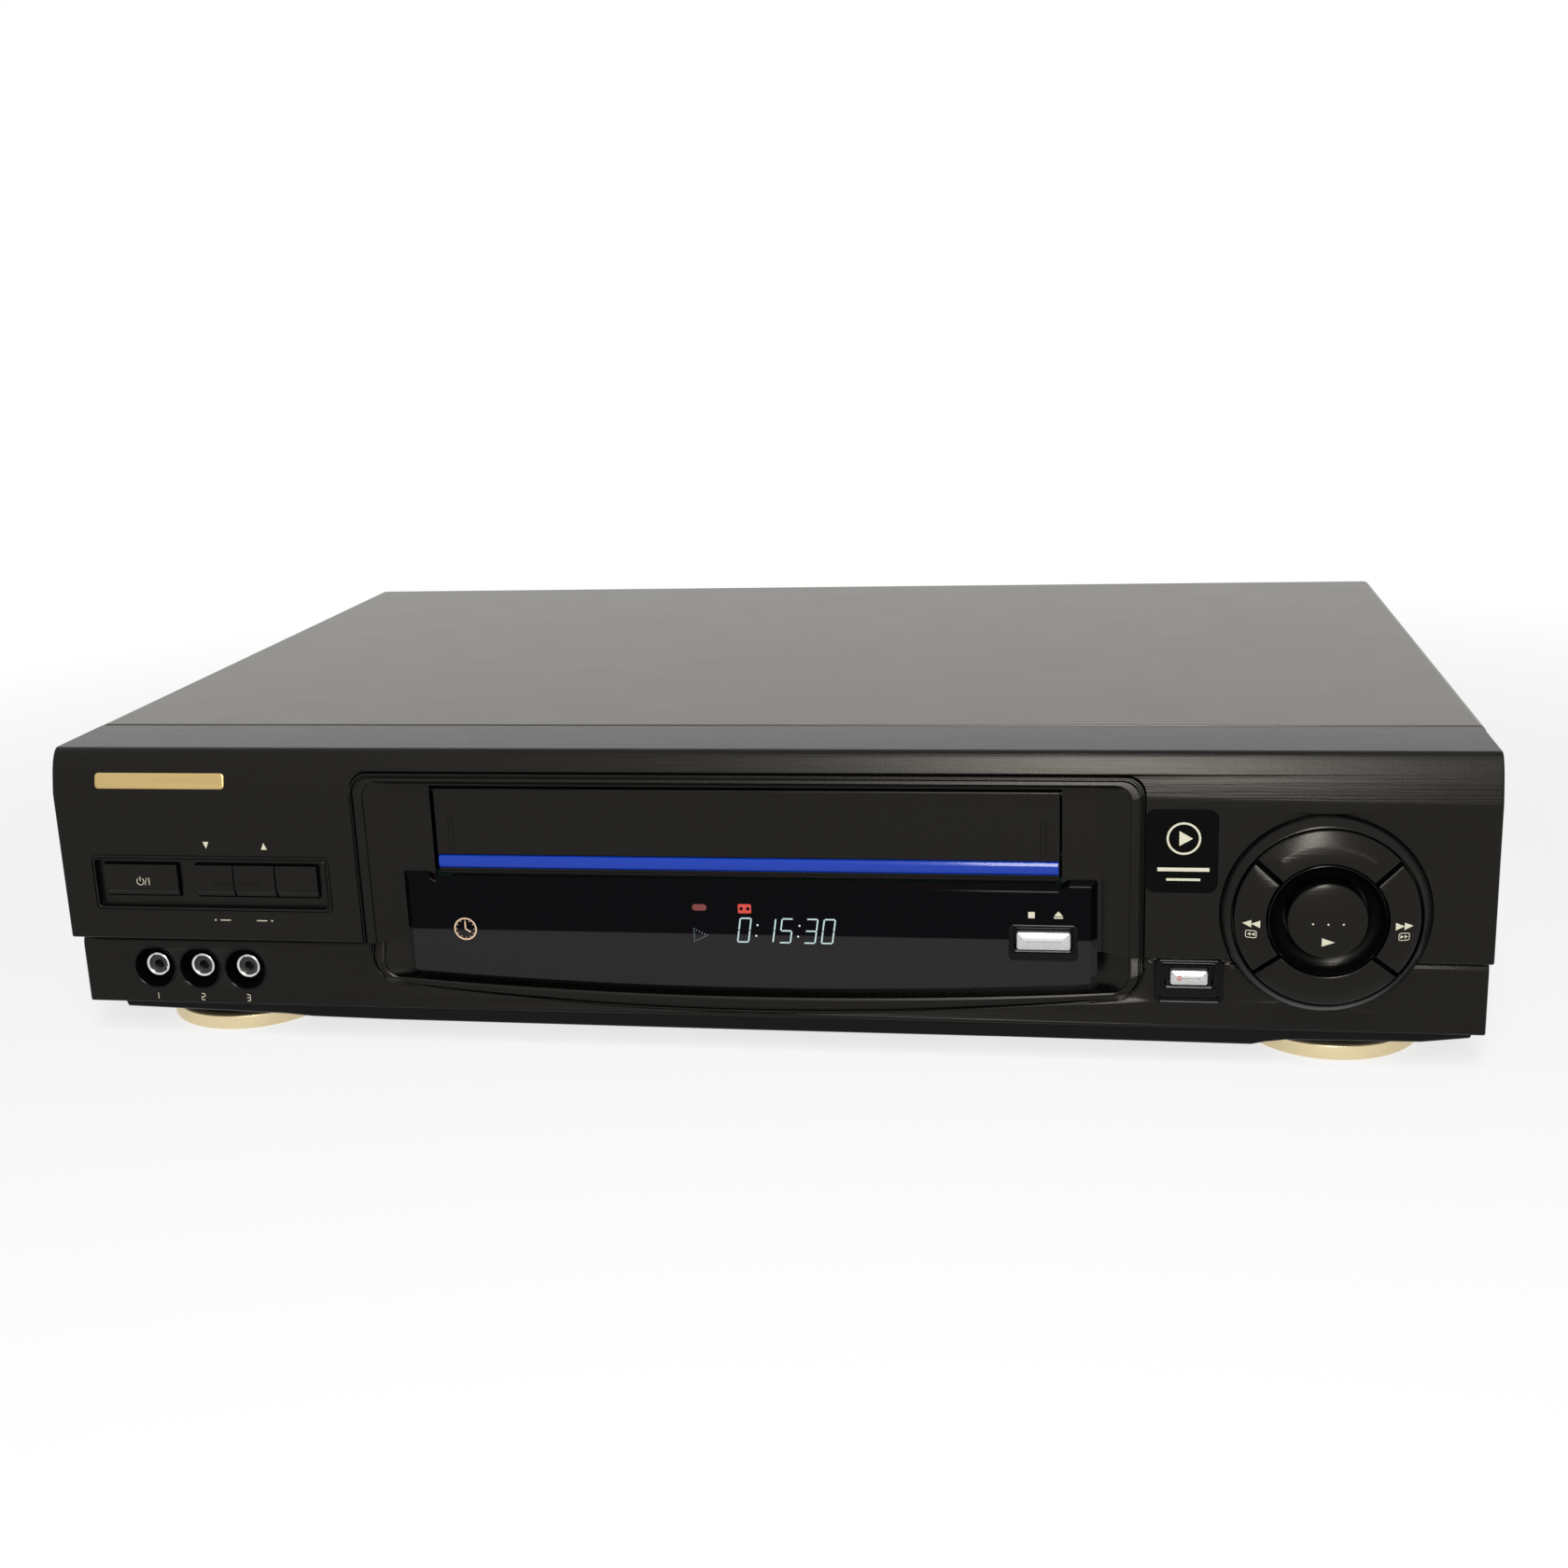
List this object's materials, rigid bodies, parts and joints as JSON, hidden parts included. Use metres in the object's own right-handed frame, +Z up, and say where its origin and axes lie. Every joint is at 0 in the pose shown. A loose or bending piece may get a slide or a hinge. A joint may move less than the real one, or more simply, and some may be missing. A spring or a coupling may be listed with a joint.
{
  "type": "video cassette recorder",
  "caption": "Front-loading video cassette recorder with inward door, sliding cassette holder, tape deck, ring of transport keys, display window and socket panels.",
  "frame": {"origin": "on the floor under the middle of the bounding box, between the feet", "axes": "+X to the viewer's right facing the front, +Y from the front to the back, +Z up"},
  "size_m": [0.437, 0.3106, 0.098],
  "materials": {
    "cover_steel": "satin black enamel, fine grain",
    "front_plastic": "black, brushed sheen",
    "bay_plastic": "black, fine grain",
    "key_plastic": "black, fine grain",
    "gloss_black": "polished black",
    "silver_keys": "silver lacquer",
    "blue_stripe": "polished blue",
    "champagne": "champagne anodised",
    "foot_black": "black",
    "tray_plastic": "black",
    "rear_paint": "matt black",
    "screw_steel": "blackened",
    "bright_plate": "nickel plated",
    "block_plastic": "black",
    "board": "green solder mask",
    "tube_glass": "smoked glass",
    "switch_plastic": "dark grey",
    "shield_tin": "tinned",
    "core_iron": "varnished",
    "raw_aluminium": "mill",
    "can_sleeve": "dark blue sleeve",
    "zinc_steel": "zinc plated",
    "bronze": "sintered bronze",
    "rubber": "matt",
    "white_plastic": "off white",
    "gear_plastic": "natural acetal"
  },
  "bodies": {
    "case": {"top_cover": "cover_steel", "front_panel": "front_plastic", "bay_frame": "bay_plastic", "door_spring": "zinc_steel", "display_window": "gloss_black", "button_frames": "gloss_black", "jog_ring": "front_plastic", "front_socket_shells": "bright_plate", "front_socket_block": "block_plastic", "front_board": "board", "display_tube": "tube_glass", "key_switches": "switch_plastic", "chassis_tray": "tray_plastic", "rear_panel": "rear_paint", "foot_rings": "champagne", "foot_cups": "foot_black", "cover_screws": "screw_steel", "main_board": "board", "rear_socket_shells": "bright_plate", "rear_socket_block": "block_plastic", "aerial_sockets": "bright_plate", "tuner_box": "shield_tin", "cord_gland": "block_plastic", "transformer": "core_iron", "heat_sink": "raw_aluminium", "capacitors": "can_sleeve", "deck_plate": "zinc_steel", "deck_posts": "zinc_steel", "lower_drum": "raw_aluminium", "capstan_bearing": "bronze", "loading_motor": "zinc_steel", "fixed_heads": "shield_tin", "loader_brackets": "zinc_steel"},
    "door": {"cassette_door": "bay_plastic", "door_stripe": "blue_stripe"},
    "power_key": {"power_button": "key_plastic"},
    "channel_down_key": {"channel_down_button": "key_plastic"},
    "channel_up_key": {"channel_up_button": "key_plastic"},
    "source_key": {"source_button": "key_plastic"},
    "stop_eject_key": {"stop_eject_button": "silver_keys"},
    "record_key": {"record_button": "silver_keys"},
    "rewind_key": {"rewind_button": "key_plastic"},
    "fast_forward_key": {"fast_forward_button": "key_plastic"},
    "play_key": {"play_button": "key_plastic"},
    "loader": {"loader_slides": "zinc_steel"},
    "holder": {"cassette_holder": "zinc_steel"},
    "drum": {"upper_drum": "raw_aluminium"},
    "capstan": {"capstan": "zinc_steel"},
    "pinch_lever": {"pinch_arm": "zinc_steel"},
    "pinch_wheel": {"pinch_roller": "rubber"},
    "supply_table": {"supply_reel": "white_plastic"},
    "takeup_table": {"takeup_reel": "white_plastic"},
    "idler_lever": {"idler_arm": "zinc_steel"},
    "idler_disc": {"idler_wheel": "rubber"},
    "cam": {"cam_gear": "gear_plastic"},
    "pinion": {"motor_pinion": "gear_plastic"},
    "entry_carriage": {"entry_guide": "zinc_steel"},
    "exit_carriage": {"exit_guide": "zinc_steel"},
    "tension_lever": {"tension_arm": "zinc_steel"}
  },
  "joints": [
    {"name": "door_swing", "type": "hinge", "parent": "case", "child": "door", "pos_m": [0, -0.14025, 0.0846], "axis": [1, 0, 0], "range_deg": [0, 88], "stiffness_Nm_per_rad": 0.002, "springref_deg": -22.92},
    {"name": "power_press", "type": "slide", "parent": "case", "child": "power_key", "axis": [0, 1, 0], "range_m": [0, 0.0008], "stiffness_N_per_m": 500},
    {"name": "channel_down_press", "type": "slide", "parent": "case", "child": "channel_down_key", "axis": [0, 1, 0], "range_m": [0, 0.0008], "stiffness_N_per_m": 500},
    {"name": "channel_up_press", "type": "slide", "parent": "case", "child": "channel_up_key", "axis": [0, 1, 0], "range_m": [0, 0.0008], "stiffness_N_per_m": 500},
    {"name": "source_press", "type": "slide", "parent": "case", "child": "source_key", "axis": [0, 1, 0], "range_m": [0, 0.0008], "stiffness_N_per_m": 500},
    {"name": "stop_eject_press", "type": "slide", "parent": "case", "child": "stop_eject_key", "axis": [0, 1, 0], "range_m": [0, 0.0008], "stiffness_N_per_m": 500},
    {"name": "record_press", "type": "slide", "parent": "case", "child": "record_key", "axis": [0, 1, 0], "range_m": [0, 0.0008], "stiffness_N_per_m": 500},
    {"name": "rewind_press", "type": "slide", "parent": "case", "child": "rewind_key", "axis": [0, 1, 0], "range_m": [0, 0.0008], "stiffness_N_per_m": 500},
    {"name": "fast_forward_press", "type": "slide", "parent": "case", "child": "fast_forward_key", "axis": [0, 1, 0], "range_m": [0, 0.0008], "stiffness_N_per_m": 500},
    {"name": "play_press", "type": "slide", "parent": "case", "child": "play_key", "axis": [0, 1, 0], "range_m": [0, 0.0008], "stiffness_N_per_m": 500},
    {"name": "holder_in", "type": "slide", "parent": "case", "child": "loader", "axis": [0, 1, 0], "range_m": [0, 0.084]},
    {"name": "holder_down", "type": "slide", "parent": "loader", "child": "holder", "axis": [0, 0, -1], "range_m": [0, 0.027]},
    {"name": "drum_spin", "type": "hinge", "parent": "case", "child": "drum", "pos_m": [0.003, 0.06735, 0.028], "axis": [0.0872, 0, 0.9962], "continuous": true},
    {"name": "capstan_spin", "type": "hinge", "parent": "case", "child": "capstan", "pos_m": [0.066, 0.03435, 0.024], "axis": [0, 0, 1], "continuous": true},
    {"name": "cam_turn", "type": "hinge", "parent": "case", "child": "cam", "pos_m": [-0.082, 0.08435, 0.0281], "axis": [0, 0, 1], "range_deg": [0, 300]},
    {"name": "pinion_turn", "type": "hinge", "parent": "case", "child": "pinion", "pos_m": [-0.082, 0.0581, 0.0281], "axis": [0, 0, 1], "range_deg": [-1001, 0]},
    {"name": "entry_guide_run", "type": "slide", "parent": "case", "child": "entry_carriage", "axis": [-0.2425, 0.9701, 0], "range_m": [0, 0.066]},
    {"name": "exit_guide_run", "type": "slide", "parent": "case", "child": "exit_carriage", "axis": [0.2425, 0.9701, 0], "range_m": [0, 0.066]},
    {"name": "pinch_swing", "type": "hinge", "parent": "case", "child": "pinch_lever", "pos_m": [0.092, 0.04835, 0.0281], "axis": [0, 0, 1], "range_deg": [0, 30]},
    {"name": "pinch_roller_spin", "type": "hinge", "parent": "pinch_lever", "child": "pinch_wheel", "pos_m": [0.07027, 0.0521, 0.0308], "axis": [0, 0, 1], "continuous": true},
    {"name": "tension_swing", "type": "hinge", "parent": "case", "child": "tension_lever", "pos_m": [-0.072, 0.04235, 0.0281], "axis": [0, 0, 1], "range_deg": [-25, 0]},
    {"name": "supply_spin", "type": "hinge", "parent": "case", "child": "supply_table", "pos_m": [-0.04625, -0.03565, 0.0276], "axis": [0, 0, 1], "continuous": true},
    {"name": "takeup_spin", "type": "hinge", "parent": "case", "child": "takeup_table", "pos_m": [0.04625, -0.03565, 0.0276], "axis": [0, 0, 1], "continuous": true},
    {"name": "idler_swing", "type": "hinge", "parent": "case", "child": "idler_lever", "pos_m": [0, -0.00565, 0.0258], "axis": [0, 0, 1], "range_deg": [-23.5, 23.5]},
    {"name": "idler_spin", "type": "hinge", "parent": "idler_lever", "child": "idler_disc", "pos_m": [0, -0.03565, 0.0276], "axis": [0, 0, 1], "continuous": true}
  ],
  "couplings": [
    {"joint": "pinion_turn", "follows": "cam_turn", "ratio": -3.3333},
    {"joint": "entry_guide_run", "follows": "cam_turn", "m_per_rad": 0.0126},
    {"joint": "exit_guide_run", "follows": "cam_turn", "m_per_rad": 0.0126},
    {"joint": "pinch_swing", "follows": "cam_turn", "ratio": 0.1},
    {"joint": "tension_swing", "follows": "cam_turn", "ratio": -0.083333}
  ]
}
